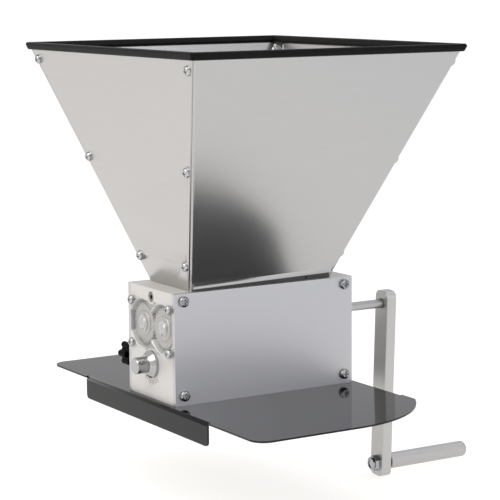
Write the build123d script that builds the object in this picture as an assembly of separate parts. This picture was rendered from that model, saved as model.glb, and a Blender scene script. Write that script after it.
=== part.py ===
"""Hand-cranked three-roller grain mill with a sheet-metal hopper, standing on a flanged base plate.

Millimetres. X runs along the rollers towards the crank, Y runs from the front cover to the rear
cover, and Z points up. The origin is the middle of the base plate's underside, which rests on the
rim of a bucket, so the plate's flanges and the hanging crank reach below z = 0.
"""

import math
import os

from build123d import *

# ---- milling head ----
HEAD_LENGTH = 180.0
HEAD_HEIGHT = 96.0
BLOCK_DEPTH = 73.6
BLOCK_THICKNESS = 25.0
COVER_THICKNESS = 4.4
COVER_SCREW_INSET = 8.6
COVER_SCREW_FROM_TOP = 6.7

# ---- base plate ----
PLATE_THICKNESS = 1.5
PLATE_HALF_WIDTH = 97.0
PLATE_HALF_LENGTH = 184.5
PLATE_CORNER_RADIUS = 13.0
PLATE_ARC_RADIUS = 110.0
FLANGE_FRONT = -106.0
FLANGE_REAR = 112.0
FLANGE_DROP = 18.5
FLANGE_BEND_RADIUS = 3.0
FLANGE_CORNER_RADIUS = 4.0
RELIEF_WIDTH = 1.5
OUTLET_HALF_LENGTH = 59.0
OUTLET_HALF_WIDTH = 29.0
OUTLET_CORNER_RADIUS = 4.0
BASE_SCREW_AT = (77.5, 25.0)

# ---- rollers ----
ROLLER_LENGTH = 127.0
ROLLER_RADIUS = 16.75
ROLLER_SPACING = 35.0
ROLLER_HEIGHT = 63.0
IDLE_ROLLER_RADIUS = 18.9
JOURNAL_RADIUS = 5.0
ROLLER_CHAMFER = 0.8
RUNNING_CLEARANCE = 0.05
BUSH_RADIUS = 8.0
BUSH_FLANGE_RADIUS = 10.0
BUSH_FLANGE_THICKNESS = 1.0
BLIND_BORE_WALL = 6.0
JOURNAL_SETBACK = 9.0

# ---- gap adjusters (eccentric dials) ----
ADJUSTER_HEIGHT = 30.0
ECCENTRICITY = 1.5
ECCENTRIC_RADIUS = 10.0
ADJUSTER_BUSH_RADIUS = 6.5
ADJUSTER_BUSH_LENGTH = 17.0
ADJUSTER_PROUD = 0.3
SKIRT_RADIUS = 12.0
SKIRT_GAP = 0.5
SKIRT_RIM = 1.8
SKIRT_LENGTH = 6.5
DIAL_PIN_RADIUS = 7.2
DIAL_PIN_END = 17.0
LOCK_GROOVE_DEPTH = 0.5
LOCK_GROOVE_WIDTH = 7.0
TICK_COUNT = 9
TICK_STEP_DEG = 10.0
TICK_RADII = (13.6, 17.6)
TICK_WIDTH = 0.45
TICK_DEPTH = 0.3

# ---- lock screws with star knobs ----
LOCK_X = 80.0
LOCK_STUD_RADIUS = 3.0
LOCK_HOLE_RADIUS = 3.1
LOCK_PAD_RADIUS = 2.7
LOCK_PAD_LENGTH = 3.0
LOCK_PAD_GAP = 0.15
KNOB_BOSS_RADIUS = 6.5
KNOB_BOSS_LENGTH = 5.0
KNOB_LENGTH = 13.0
KNOB_STANDOFF = 0.6
KNOB_LOBES = 7
KNOB_CORE_RADIUS = 9.0
KNOB_LOBE_CIRCLE = 9.2
KNOB_LOBE_RADIUS = 2.9

# ---- gears ----
GEAR_MODULE = 1.0
GEAR_TEETH = 35
GEAR_WIDTH = 7.5
GEAR_HUB_RADIUS = 11.0
GEAR_HUB_HEIGHT = 1.0
GEAR_HUB_CHAMFER = 0.6
GEAR_FACE_SETBACK = 3.0
POCKET_RADIUS = 21.1
POCKET_DEPTH = 11.0
POCKET_CHAMFER = 0.7
KEY_SIZE = 3.0
RING_RADIUS = 7.0
RING_THICKNESS = 0.7
RING_GROOVE_RADIUS = 4.3
SHAFT_TIP_SETBACK = 0.3
SHAFT_TIP_CHAMFER = 0.8

# ---- clear gear cover ----
GEAR_COVER_THICKNESS = 1.5
GEAR_COVER_HALF = (36.2, 22.6)
GEAR_COVER_SCREW_AT = (32.8, 18.7)
DIAL_NOTCH_RADIUS = 13.6
TIE_NOTCH_RADIUS = 6.0

# ---- tie bar across the throat ----
TIE_BAR_HEIGHT = 88.4
TIE_BAR_RADIUS = 5.0
TIE_THREAD_RADIUS = 2.5
TIE_THREAD_DEPTH = 12.0
TIE_SCREW_HEAD = (4.2, 5.0)
TIE_COUNTERBORE_RADIUS = 4.7
TIE_COUNTERBORE_DEPTH = 5.4

# ---- crank ----
CRANK_SHAFT_RADIUS = 4.0
CRANK_INNER_FACE = 138.7
CRANK_THICKNESS = 10.5
CRANK_HALF_WIDTH = 9.3
CRANK_LENGTH = 151.0
CRANK_END = 11.8
CRANK_TOP_RADIUS = 6.0
CRANK_BOTTOM_RADIUS = 5.5
CRANK_LEAN_DEG = 2.7
SHAFT_FLAT_DEPTH = 1.0
SHAFT_THREAD_DEPTH = 12.0
ARM_BORE_CHAMFER = 0.9
CRANK_WASHER = (6.0, 2.2, 1.0)
GRIP_START = 152.0
GRIP_LENGTH = 87.5
GRIP_RADIUS = 7.3
GRIP_END_ROUND = 3.2
GRIP_BOLT_RADIUS = 4.0
GRIP_BOLT_HEAD = (5.0, 4.5)
GRIP_RECESS = (5.3, 6.3)
GRIP_WASHER_RADIUS = 5.6
NUT_FLATS = 13.0
NUT_HEIGHT = 5.0
NUT_COLLAR = (5.6, 1.4)

# ---- hopper ----
HOPPER_BOTTOM_HALF = (72.6, 36.6)
HOPPER_TOP_HALF = (129.2, 145.7)
HOPPER_BOTTOM = 99.3
HOPPER_TOP = 295.8
SHEET = 1.2
BEND_RADIUS = 1.8
FOOT_BEND_RADIUS = 8.0
FOOT_HEIGHT = 3.0
FOOT_HALF_LENGTH = 69.4
LONG_EDGE_HEIGHT = 99.45
LONG_EDGE_SLOPE = 0.0214
CORNER_INSET = 1.8
CORNER_FLANGE = 13.0
PANEL_SCREW_INSET = 7.4
PANEL_SCREW_HEIGHTS = (118.5, 203.0, 287.5)
SEAT_FLANGE_INNER = 65.2
SEAT_FLANGE_HALF = 21.2
SEAT_SCREW_AT = (67.7, 15.0)
TRIM_HEIGHT = 6.5
TRIM_OVERLAP = 4.5
TRIM_WALL = 2.3
TRIM_ROUND = 1.9
TRIM_CORNER_RADIUS = 3.5
PANEL_NUT = (7.0, 3.2)
SEAL_WALL = 2.5
SEAL_SETBACK = 0.4
SEAL_HEIGHT = 6.5
SEAL_HALF_LENGTH = 69.2
SEAL_GAP = (44.0, 45.6)
OVERSIZE = 20.0
REACH = 400.0

# ---- fasteners: head radius, head height, shank radius ----
M5_PAN = (4.65, 3.4, 2.5)
M4_PAN = (4.1, 2.8, 2.0)
M4_LOW_PAN = (3.9, 2.5, 2.0)
M3_PAN = (2.75, 2.2, 1.5)
M5_FLAT = (3.9, 1.4, 2.5)
BLOCK_SCREW_LENGTH = 14.0
COVER_THREAD_DEPTH = 12.0
GEAR_COVER_SCREW_LENGTH = 9.0
PANEL_SCREW_LENGTH = 8.0
SEAT_SCREW_LENGTH = 11.0
CRANK_SCREW_LENGTH = 12.0
SCREW_CLEARANCE = 0.2
FLAT_HEAD_CLEARANCE = 0.05

# ---- levels and places worked out from the above ----
TOP_OF_PLATE = PLATE_THICKNESS
TOP_OF_HEAD = TOP_OF_PLATE + HEAD_HEIGHT
HALF_LENGTH = HEAD_LENGTH / 2
HALF_DEPTH = BLOCK_DEPTH / 2
COVER_FACE = HALF_DEPTH + COVER_THICKNESS
BLOCK_INNER = HALF_LENGTH - BLOCK_THICKNESS
ROLLER_Y = ROLLER_SPACING / 2
ROLLER_Z = TOP_OF_PLATE + ROLLER_HEIGHT
ROLLER_END = ROLLER_LENGTH / 2
ADJUSTER_Z = TOP_OF_PLATE + ADJUSTER_HEIGHT
TIE_BAR_Z = TOP_OF_PLATE + TIE_BAR_HEIGHT
POCKET_FLOOR = HALF_LENGTH - POCKET_DEPTH
GEAR_FACE = HALF_LENGTH - GEAR_FACE_SETBACK
CRANK_OUTER_FACE = CRANK_INNER_FACE + CRANK_THICKNESS
LEAN = math.radians(CRANK_LEAN_DEG)
GRIP_Y = -ROLLER_Y + CRANK_LENGTH * math.sin(LEAN)
GRIP_Z = ROLLER_Z - CRANK_LENGTH * math.cos(LEAN)
HOPPER_Z = (TOP_OF_PLATE + HOPPER_BOTTOM, TOP_OF_PLATE + HOPPER_TOP)
HOPPER_RISE = HOPPER_Z[1] - HOPPER_Z[0]
HOPPER_RUN = [top - bottom for top, bottom in zip(HOPPER_TOP_HALF, HOPPER_BOTTOM_HALF)]
FOOT_CUT = HOPPER_Z[0] + 3 * FOOT_HEIGHT
SIGNS = (-1, 1)


# ---------------------------------------------------------------- simple shapes


def box_between(x_span, y_span, z_span):
    """A box from its two limits along each axis."""
    spans = (x_span, y_span, z_span)
    size = [abs(b - a) for a, b in spans]
    middle = [(a + b) / 2 for a, b in spans]
    return Pos(*middle) * Box(*size)


def rod_x(x_from, x_to, y, z, radius):
    """A cylinder along X."""
    return Pos((x_from + x_to) / 2, y, z) * Rot(0, 90, 0) * Cylinder(radius, abs(x_to - x_from))


def rod_y(y_from, y_to, x, z, radius):
    """A cylinder along Y."""
    return Pos(x, (y_from + y_to) / 2, z) * Rot(90, 0, 0) * Cylinder(radius, abs(y_to - y_from))


def rod_z(z_from, z_to, x, y, radius):
    """A cylinder along Z."""
    return Pos(x, y, (z_from + z_to) / 2) * Cylinder(radius, abs(z_to - z_from))


def hexagon_prism(across_flats, height):
    """A hexagonal prism standing on z = 0."""
    return extrude(RegularPolygon(across_flats / math.sqrt(3), 6), height)


def pan_screw(size, length):
    """A pan-head cross-recess screw: the head stands on z = 0 and the shank hangs below it."""
    head_radius, head_height, shank_radius = size
    head = Pos(0, 0, head_height / 2) * Cylinder(head_radius, head_height)
    head = fillet(head.edges().sort_by(Axis.Z)[-1], head_height * 0.62)
    shank = Pos(0, 0, -length / 2) * Cylinder(shank_radius, length)
    slot = Pos(0, 0, head_height) * Box(head_radius * 1.15, head_radius * 0.24, head_height)
    return head + shank - slot - Rot(0, 0, 90) * slot


def flat_screw(size, length):
    """A countersunk cross-recess screw: the head's face is at z = 0 and the rest hangs below it."""
    head_radius, head_height, shank_radius = size
    head = Pos(0, 0, -head_height / 2) * Cone(shank_radius, head_radius, head_height)
    shank = Pos(0, 0, -length / 2) * Cylinder(shank_radius, length)
    slot = Box(head_radius * 1.1, head_radius * 0.22, head_height)
    return head + shank - slot - Rot(0, 0, 90) * slot


def socket_screw(head_radius, head_height, shank_radius, length):
    """A hexagon-socket cap screw: the head stands on z = 0 and the shank hangs below it."""
    head = Pos(0, 0, head_height / 2) * Cylinder(head_radius, head_height)
    head = chamfer(head.edges().sort_by(Axis.Z)[-1], 0.4)
    socket = Pos(0, 0, head_height * 0.45) * hexagon_prism(head_radius * 0.95, head_height)
    shank = Pos(0, 0, -length / 2) * Cylinder(shank_radius, length)
    return head + shank - socket


def facing(direction):
    """The rotation that turns +Z to one of the row's directions."""
    turns = {
        "+X": (0, 90, 0),
        "-X": (0, -90, 0),
        "+Y": (-90, 0, 0),
        "-Y": (90, 0, 0),
        "+Z": (0, 0, 0),
        "-Z": (180, 0, 0),
    }
    return Rot(*turns[direction])


def mirrored_x(shape):
    """The same part for the other end of the head."""
    return mirror(shape, about=Plane.YZ)


def group(shapes):
    """Several separate solids kept as one node."""
    return Compound([solid for shape in shapes for solid in shape.solids()])


# ---------------------------------------------------------------- base plate


def big_corner(side):
    """What the large arc removes from a corner on the crank side."""
    centre = PLATE_HALF_LENGTH - PLATE_ARC_RADIUS
    corner = Pos(PLATE_ARC_RADIUS / 2, side * (centre + PLATE_ARC_RADIUS / 2))
    return corner * Rectangle(PLATE_ARC_RADIUS, PLATE_ARC_RADIUS) - Pos(0, side * centre) * Circle(
        PLATE_ARC_RADIUS
    )


def outer_top_edge(box):
    """A box's upper edge along Y on its +X side."""
    return box.edges().filter_by(Axis.Y).sort_by(Axis.Z)[-2:].sort_by(Axis.X)[-1]


def flange(side):
    """One bent-down edge of the base plate, with its bend."""
    inner = PLATE_HALF_WIDTH - PLATE_THICKNESS
    root = PLATE_HALF_WIDTH - FLANGE_BEND_RADIUS
    x_span = (root - 2, PLATE_HALF_WIDTH)
    outside = box_between(x_span, (FLANGE_FRONT, FLANGE_REAR), (-FLANGE_DROP, TOP_OF_PLATE))
    outside = fillet(outer_top_edge(outside), FLANGE_BEND_RADIUS)
    lower = outside.edges().filter_by(Axis.X).sort_by(Axis.Z)[:2]
    outside = fillet(lower, FLANGE_CORNER_RADIUS)
    inside = box_between((root - 5, inner), (FLANGE_FRONT - 5, FLANGE_REAR + 5), (-FLANGE_DROP - 5, 0))
    inside = fillet(outer_top_edge(inside), FLANGE_BEND_RADIUS - PLATE_THICKNESS)
    bent = outside - inside
    return bent if side > 0 else mirrored_x(bent)


def base_plate():
    """Flat plate with two flanges, a grain outlet and large arcs on the crank side."""
    outline = Rectangle(2 * PLATE_HALF_WIDTH, 2 * PLATE_HALF_LENGTH)
    outline = fillet(outline.vertices().sort_by(Axis.X)[:2], PLATE_CORNER_RADIUS)
    outline = outline - big_corner(-1) - big_corner(1)
    plate = extrude(outline, PLATE_THICKNESS)
    edge = (PLATE_HALF_WIDTH - FLANGE_BEND_RADIUS, PLATE_HALF_WIDTH + 1)
    level = (-1, PLATE_THICKNESS + 1)
    strip = box_between(edge, (FLANGE_FRONT - RELIEF_WIDTH, FLANGE_REAR + RELIEF_WIDTH), level)
    plate = plate - strip - mirrored_x(strip) + flange(1) + flange(-1)
    outlet = RectangleRounded(2 * OUTLET_HALF_LENGTH, 2 * OUTLET_HALF_WIDTH, OUTLET_CORNER_RADIUS)
    plate = plate - extrude(outlet, 10, both=True)
    for x, y in corners_of(*BASE_SCREW_AT):
        plate = plate - Pos(x, y, 0) * base_screw_hole()
    return plate


def base_screw_hole():
    """A countersunk hole that opens at z = 0."""
    head_radius, head_height, shank_radius = (size + FLAT_HEAD_CLEARANCE for size in M5_FLAT)
    hole = rod_z(-1, PLATE_THICKNESS + 1, 0, 0, shank_radius)
    return hole + Pos(0, 0, head_height / 2) * Cone(head_radius, shank_radius, head_height)


def corners_of(x, y):
    """The four places of a rectangular screw pattern."""
    return [(sx * x, sy * y) for sx in SIGNS for sy in SIGNS]


def base_screws():
    """Countersunk screws up through the base plate into the end blocks, flush with its underside."""
    screw = Pos(0, 0, FLAT_HEAD_CLEARANCE / 2) * facing("-Z") * flat_screw(M5_FLAT, BLOCK_SCREW_LENGTH)
    return group(Pos(x, y, 0) * screw for x, y in corners_of(*BASE_SCREW_AT))


# ---------------------------------------------------------------- milling head


def cover_screw_places():
    """X and Z of the four screws that hold the front or the rear cover."""
    x = HALF_LENGTH - COVER_SCREW_INSET
    low = TOP_OF_PLATE + COVER_SCREW_INSET
    return [(side * x, z) for side in SIGNS for z in (low, TOP_OF_HEAD - COVER_SCREW_FROM_TOP)]


def tick_marks():
    """The scale engraved in the block's face, under the dial."""
    ticks = []
    inner, outer = TICK_RADII
    first = -(TICK_COUNT - 1) / 2 * TICK_STEP_DEG
    for i in range(TICK_COUNT):
        length = outer - inner + (1.0 if i % 4 == 0 else 0.0)
        tick = Pos(0, 0, -(inner + length / 2)) * Box(2 * TICK_DEPTH, TICK_WIDTH, length)
        ticks.append(Pos(HALF_LENGTH, 0, ADJUSTER_Z) * Rot(first + i * TICK_STEP_DEG, 0, 0) * tick)
    return ticks


def end_block():
    """What both end blocks share, drawn for the crank side (+X)."""
    inner, outer = BLOCK_INNER - 1, HALF_LENGTH + 1
    block = box_between((BLOCK_INNER, HALF_LENGTH), (-HALF_DEPTH, HALF_DEPTH), (TOP_OF_PLATE, TOP_OF_HEAD))
    block -= rod_x(inner, outer, 0, ADJUSTER_Z, ECCENTRIC_RADIUS + RUNNING_CLEARANCE)
    block -= rod_x(inner, outer, 0, TIE_BAR_Z, TIE_THREAD_RADIUS)
    block -= rod_x(HALF_LENGTH - TIE_COUNTERBORE_DEPTH, outer, 0, TIE_BAR_Z, TIE_COUNTERBORE_RADIUS)
    block -= rod_y(ECCENTRIC_RADIUS - 2, HALF_DEPTH + 1, LOCK_X, ADJUSTER_Z, LOCK_HOLE_RADIUS)
    for x, z in cover_screw_places():
        if x > 0:
            for side in SIGNS:
                bottom = HALF_DEPTH - COVER_THREAD_DEPTH
                block -= rod_y(side * bottom, side * (HALF_DEPTH + 1), x, z, M5_PAN[2])
    for y in (-BASE_SCREW_AT[1], BASE_SCREW_AT[1]):
        block -= rod_z(TOP_OF_PLATE - 1, BLOCK_SCREW_LENGTH + 1, BASE_SCREW_AT[0], y, M5_PAN[2])
    for y in (-SEAT_SCREW_AT[1], SEAT_SCREW_AT[1]):
        bottom = TOP_OF_HEAD - SEAT_SCREW_LENGTH
        block -= rod_z(bottom, TOP_OF_HEAD + 1, SEAT_SCREW_AT[0], y, M3_PAN[2])
    for tick in tick_marks():
        block -= tick
    return block


def left_end_block():
    """The block at the gear end, with its figure-of-eight gear pocket."""
    block = mirrored_x(end_block())
    pocket = rod_x(-HALF_LENGTH - 5, -POCKET_FLOOR, ROLLER_Y, ROLLER_Z, POCKET_RADIUS)
    pocket += rod_x(-HALF_LENGTH - 5, -POCKET_FLOOR, -ROLLER_Y, ROLLER_Z, POCKET_RADIUS)
    block -= pocket
    for y in (-ROLLER_Y, ROLLER_Y):
        block -= rod_x(-HALF_LENGTH - 1, -BLOCK_INNER + 1, y, ROLLER_Z, BUSH_RADIUS)
    for y, z in gear_cover_screw_places():
        block -= rod_x(-HALF_LENGTH - 1, -HALF_LENGTH + GEAR_COVER_SCREW_LENGTH, y, z, M4_LOW_PAN[2])
    rim = block.edges().filter_by(GeomType.CIRCLE).filter_by(on_pocket_rim)
    return chamfer(rim, POCKET_CHAMFER)


def on_pocket_rim(edge):
    """True for the two large arcs where the gear pocket opens on the block's outer face."""
    return abs(edge.radius - POCKET_RADIUS) < 0.01 and abs(edge.center().X + HALF_LENGTH) < 0.01


def right_end_block():
    """The block at the crank end: a through bore for the drive shaft and a blind one beside it."""
    block = end_block()
    block -= rod_x(BLOCK_INNER - 1, HALF_LENGTH + 1, -ROLLER_Y, ROLLER_Z, BUSH_RADIUS)
    block -= rod_x(BLOCK_INNER - 1, HALF_LENGTH - BLIND_BORE_WALL, ROLLER_Y, ROLLER_Z, BUSH_RADIUS)
    return block


def cover(side):
    """Front (-1) or rear (+1) cover plate; the rear one lets the lock screws through."""
    plate = box_between(
        (-HALF_LENGTH, HALF_LENGTH), (side * HALF_DEPTH, side * COVER_FACE), (TOP_OF_PLATE, TOP_OF_HEAD)
    )
    for x, z in cover_screw_places():
        plate -= rod_y(side * (HALF_DEPTH - 1), side * (COVER_FACE + 1), x, z, M5_PAN[2] + SCREW_CLEARANCE)
    if side > 0:
        for x in (-LOCK_X, LOCK_X):
            plate -= rod_y(HALF_DEPTH - 1, COVER_FACE + 1, x, ADJUSTER_Z, LOCK_STUD_RADIUS + 1)
    return plate


def cover_screws(side):
    """The four screws of one cover."""
    turn = facing("+Y" if side > 0 else "-Y")
    places = cover_screw_places()
    screw = turn * pan_screw(M5_PAN, BLOCK_SCREW_LENGTH)
    return group(Pos(x, side * COVER_FACE, z) * screw for x, z in places)


def bush(outer_end, y, z):
    """A flanged bronze bush whose flange takes the roller's end thrust, for the crank end."""
    flange_face = BLOCK_INNER - BUSH_FLANGE_THICKNESS
    body = rod_x(flange_face, outer_end, y, z, BUSH_RADIUS)
    body += rod_x(flange_face, BLOCK_INNER, y, z, BUSH_FLANGE_RADIUS)
    return body - rod_x(flange_face - 1, outer_end + 1, y, z, JOURNAL_RADIUS + RUNNING_CLEARANCE)


def left_bushes():
    """The two upper bushes at the gear end."""
    return group(mirrored_x(bush(POCKET_FLOOR, y, ROLLER_Z)) for y in (-ROLLER_Y, ROLLER_Y))


def right_bushes():
    """The two upper bushes at the crank end, the driven roller's in a blind bore."""
    blind_end = HALF_LENGTH - BLIND_BORE_WALL - 2
    return group([bush(HALF_LENGTH, -ROLLER_Y, ROLLER_Z), bush(blind_end, ROLLER_Y, ROLLER_Z)])


def tie_bar():
    """A round bar that keeps the end blocks parallel above the rollers."""
    bar = rod_x(-BLOCK_INNER, BLOCK_INNER, 0, TIE_BAR_Z, TIE_BAR_RADIUS)
    for side in SIGNS:
        bottom = BLOCK_INNER - TIE_THREAD_DEPTH
        bar -= rod_x(side * bottom, side * (BLOCK_INNER + 1), 0, TIE_BAR_Z, TIE_THREAD_RADIUS)
    return bar


def tie_bar_screws():
    """A cap screw sunk in each end block, into the tie bar."""
    seat = HALF_LENGTH - TIE_COUNTERBORE_DEPTH
    length = seat - BLOCK_INNER + TIE_THREAD_DEPTH - 2
    screw = socket_screw(*TIE_SCREW_HEAD, TIE_THREAD_RADIUS, length)
    screw = Pos(seat, 0, TIE_BAR_Z) * facing("+X") * screw
    return group([screw, mirrored_x(screw)])


def gear_cover_screw_places():
    """Y and Z of the four screws of the clear cover."""
    return [(y, ROLLER_Z + z) for y, z in corners_of(*GEAR_COVER_SCREW_AT)]


def gear_cover():
    """Clear plate over the gear pocket, notched round the dial and round the tie bar's screw."""
    outline = RectangleRounded(2 * GEAR_COVER_HALF[0], 2 * GEAR_COVER_HALF[1], 4)
    outline -= Pos(0, ADJUSTER_Z - ROLLER_Z) * Circle(DIAL_NOTCH_RADIUS)
    outline -= Pos(0, TIE_BAR_Z - ROLLER_Z) * Circle(TIE_NOTCH_RADIUS)
    for y, z in corners_of(*GEAR_COVER_SCREW_AT):
        outline -= Pos(y, z) * Circle(M4_LOW_PAN[2] + SCREW_CLEARANCE)
    plane = Plane((-HALF_LENGTH, 0, ROLLER_Z), x_dir=(0, -1, 0), z_dir=(-1, 0, 0))
    return extrude(plane * outline, GEAR_COVER_THICKNESS)


def gear_cover_screws():
    """The four small screws of the clear cover."""
    face = -HALF_LENGTH - GEAR_COVER_THICKNESS
    places = gear_cover_screw_places()
    screw = facing("-X") * pan_screw(M4_LOW_PAN, GEAR_COVER_SCREW_LENGTH)
    return group(Pos(face, y, z) * screw for y, z in places)


# ---------------------------------------------------------------- rollers and gears


def gear_outline():
    """A spur gear's outline with straight-sided teeth, one tooth pointing along +X."""
    pitch_radius = GEAR_MODULE * GEAR_TEETH / 2
    tip, root = pitch_radius + 0.95 * GEAR_MODULE, pitch_radius - 1.2 * GEAR_MODULE
    step = 2 * math.pi / GEAR_TEETH
    at_tip, at_pitch, at_root = 0.115 * step, 0.235 * step, 0.33 * step
    points = []
    for tooth in range(GEAR_TEETH):
        middle = tooth * step
        shape = ((root, -at_root), (pitch_radius, -at_pitch), (tip, -at_tip))
        shape += ((tip, at_tip), (pitch_radius, at_pitch), (root, at_root))
        points += [(r * math.cos(middle + a), r * math.sin(middle + a)) for r, a in shape]
    return make_face(Polyline(*points, close=True))


def key_at(y):
    """The key between a gear and its shaft."""
    middle = ROLLER_Z + JOURNAL_RADIUS
    half = KEY_SIZE / 2
    return box_between(
        (-GEAR_FACE + 1.5, -GEAR_FACE + GEAR_WIDTH), (y - half, y + half), (middle - half, middle + half)
    )


def gear(y):
    """One of the two equal gears; a tooth of each points along +Y, so they mesh when at rest."""
    plane = Plane((-GEAR_FACE, y, ROLLER_Z), x_dir=(0, 1, 0), z_dir=(1, 0, 0))
    body = extrude(plane * gear_outline(), GEAR_WIDTH)
    hub = rod_x(-GEAR_FACE - GEAR_HUB_HEIGHT, -GEAR_FACE, y, ROLLER_Z, GEAR_HUB_RADIUS)
    body += chamfer(hub.edges().filter_by(GeomType.CIRCLE).sort_by(Axis.X)[0], GEAR_HUB_CHAMFER)
    return body - rod_x(-HALF_LENGTH, -POCKET_FLOOR, y, ROLLER_Z, JOURNAL_RADIUS) - key_at(y)


def ring_span():
    """Where the retaining ring sits along the shaft, just outside the gear's hub."""
    inner = -GEAR_FACE - GEAR_HUB_HEIGHT
    return inner - RING_THICKNESS, inner


def retaining_ring(y):
    """An open ring in the shaft's groove."""
    start, end = ring_span()
    ring = rod_x(start, end, y, ROLLER_Z, RING_RADIUS)
    ring -= rod_x(start - 1, end + 1, y, ROLLER_Z, RING_GROOVE_RADIUS)
    mouth = box_between((start - 1, end + 1), (y - 2.2, y + 2.2), (ROLLER_Z - RING_RADIUS - 1, ROLLER_Z))
    return ring - mouth


def upper_roller(y):
    """The turned roller and its journals as far as both upper rollers share them."""
    roller = rod_x(-ROLLER_END, ROLLER_END, y, ROLLER_Z, ROLLER_RADIUS)
    roller = chamfer(roller.edges().filter_by(GeomType.CIRCLE), ROLLER_CHAMFER)
    tip = -HALF_LENGTH + SHAFT_TIP_SETBACK
    stub = rod_x(tip, -ROLLER_END, y, ROLLER_Z, JOURNAL_RADIUS)
    stub = chamfer(stub.edges().filter_by(GeomType.CIRCLE).sort_by(Axis.X)[0], SHAFT_TIP_CHAMFER)
    start, end = ring_span()
    groove = rod_x(start, end, y, ROLLER_Z, JOURNAL_RADIUS + 1)
    groove -= rod_x(start, end, y, ROLLER_Z, RING_GROOVE_RADIUS)
    return roller + stub - groove - key_at(y)


def crank_flat():
    """The flat on the end of the drive shaft, which carries the crank round."""
    above = ROLLER_Z + CRANK_SHAFT_RADIUS - SHAFT_FLAT_DEPTH
    y = -ROLLER_Y
    return box_between(
        (CRANK_INNER_FACE, CRANK_OUTER_FACE + 1),
        (y - CRANK_SHAFT_RADIUS, y + CRANK_SHAFT_RADIUS),
        (above, above + CRANK_SHAFT_RADIUS),
    )


def drive_roller():
    """The front upper roller, with the long shaft that carries the crank."""
    y = -ROLLER_Y
    roller = upper_roller(y)
    roller += rod_x(ROLLER_END, HALF_LENGTH + 1.5, y, ROLLER_Z, JOURNAL_RADIUS)
    shaft = rod_x(HALF_LENGTH, CRANK_OUTER_FACE, y, ROLLER_Z, CRANK_SHAFT_RADIUS)
    roller += shaft - crank_flat()
    return roller - rod_x(CRANK_OUTER_FACE - SHAFT_THREAD_DEPTH, CRANK_OUTER_FACE + 1, y, ROLLER_Z, M4_PAN[2])


def driven_roller():
    """The rear upper roller, turned by the gears."""
    roller = upper_roller(ROLLER_Y)
    return roller + rod_x(ROLLER_END, HALF_LENGTH - JOURNAL_SETBACK, ROLLER_Y, ROLLER_Z, JOURNAL_RADIUS)


def idle_roller():
    """The lower roller, which runs in the two eccentric adjusters."""
    y, z = -ECCENTRICITY, ADJUSTER_Z
    roller = rod_x(-ROLLER_END, ROLLER_END, y, z, IDLE_ROLLER_RADIUS)
    roller = chamfer(roller.edges().filter_by(GeomType.CIRCLE), ROLLER_CHAMFER)
    end = BLOCK_INNER + ADJUSTER_BUSH_LENGTH - 1
    return roller + rod_x(-end, end, y, z, JOURNAL_RADIUS)


# ---------------------------------------------------------------- gap adjusters and locks


def gap_adjuster():
    """A turned eccentric with its skirted dial, for the crank end."""
    face = HALF_LENGTH
    body = rod_x(BLOCK_INNER - ADJUSTER_PROUD, face + SKIRT_GAP, 0, ADJUSTER_Z, ECCENTRIC_RADIUS)
    body += rod_x(face + SKIRT_GAP, face + SKIRT_GAP + SKIRT_RIM, 0, ADJUSTER_Z, SKIRT_RADIUS)
    cone_start = face + SKIRT_GAP + SKIRT_RIM
    cone_length = SKIRT_LENGTH - SKIRT_GAP - SKIRT_RIM
    cone = Cone(SKIRT_RADIUS, DIAL_PIN_RADIUS + 1.2, cone_length)
    body += Pos(cone_start + cone_length / 2, 0, ADJUSTER_Z) * Rot(0, 90, 0) * cone
    pin = rod_x(face + 3, face + DIAL_PIN_END, 0, ADJUSTER_Z, DIAL_PIN_RADIUS)
    body += chamfer(pin.edges().filter_by(GeomType.CIRCLE).sort_by(Axis.X)[-1], 0.7)
    bore_end = BLOCK_INNER + ADJUSTER_BUSH_LENGTH
    body -= rod_x(BLOCK_INNER - 2, bore_end, -ECCENTRICITY, ADJUSTER_Z, ADJUSTER_BUSH_RADIUS)
    half = LOCK_GROOVE_WIDTH / 2
    groove = rod_x(LOCK_X - half, LOCK_X + half, 0, ADJUSTER_Z, ECCENTRIC_RADIUS + 1)
    groove -= rod_x(LOCK_X - half, LOCK_X + half, 0, ADJUSTER_Z, ECCENTRIC_RADIUS - LOCK_GROOVE_DEPTH)
    body -= groove
    start = face + SKIRT_GAP
    index = Pos(start + SKIRT_RIM / 2, 0, ADJUSTER_Z - SKIRT_RADIUS) * Box(SKIRT_RIM + 0.02, 0.8, 1.0)
    return body - index


def adjuster_bush():
    """The bronze bush in an adjuster, off centre by the eccentricity, for the crank end."""
    y, z = -ECCENTRICITY, ADJUSTER_Z
    end = BLOCK_INNER + ADJUSTER_BUSH_LENGTH
    body = rod_x(BLOCK_INNER - ADJUSTER_PROUD, end, y, z, ADJUSTER_BUSH_RADIUS)
    return body - rod_x(BLOCK_INNER - 2, end + 1, y, z, JOURNAL_RADIUS + RUNNING_CLEARANCE)


def lock_pad(side):
    """The brass tip that the lock screw presses on the eccentric."""
    start = ECCENTRIC_RADIUS - LOCK_GROOVE_DEPTH + LOCK_PAD_GAP
    return rod_y(start, start + LOCK_PAD_LENGTH, side * LOCK_X, ADJUSTER_Z, LOCK_PAD_RADIUS)


def lock_stud(side):
    """The steel stud moulded into the star knob."""
    start = ECCENTRIC_RADIUS - LOCK_GROOVE_DEPTH + LOCK_PAD_GAP + LOCK_PAD_LENGTH
    end = COVER_FACE + KNOB_STANDOFF + KNOB_BOSS_LENGTH + KNOB_LENGTH / 2
    return rod_y(start, end, side * LOCK_X, ADJUSTER_Z, LOCK_STUD_RADIUS)


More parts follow.
